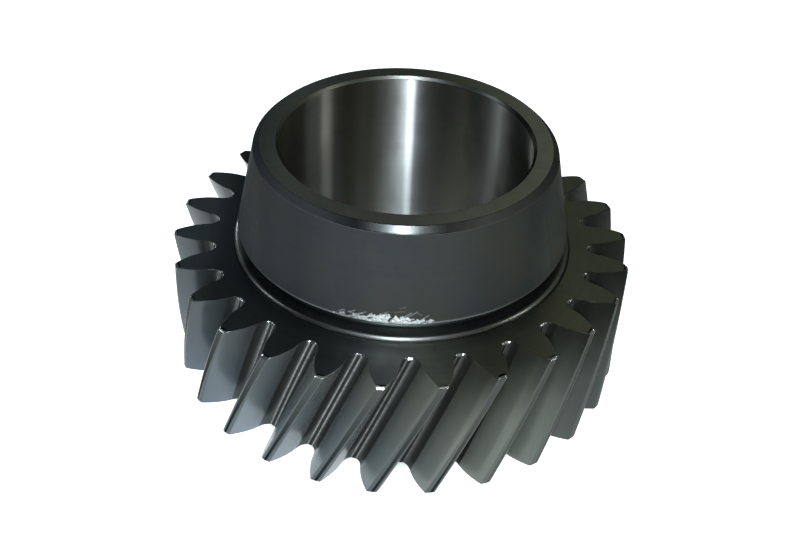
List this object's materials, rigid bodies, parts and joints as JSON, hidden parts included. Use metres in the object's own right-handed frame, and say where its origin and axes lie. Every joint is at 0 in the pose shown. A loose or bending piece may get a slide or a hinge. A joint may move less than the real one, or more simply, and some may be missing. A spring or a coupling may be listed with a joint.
{
  "type": "transmission gear",
  "caption": "Right-hand helical transmission gear with a flared hub on one side, a neck groove and raised collar at its foot, and a plain through bore.",
  "frame": {"origin": "on the bore axis, in the plane of the flat back face that the gear rests on", "axes": "+Z along the bore axis, from the back face to the hub; the teeth's angular place about Z is as in the picture"},
  "size_m": [0.1216, 0.1216, 0.0657],
  "materials": {
    "steel": "case-hardened dark steel, ground teeth and bore, satin turned faces with a film of oil"
  },
  "bodies": {
    "root": {"helical_gear": "steel"}
  },
  "joints": []
}
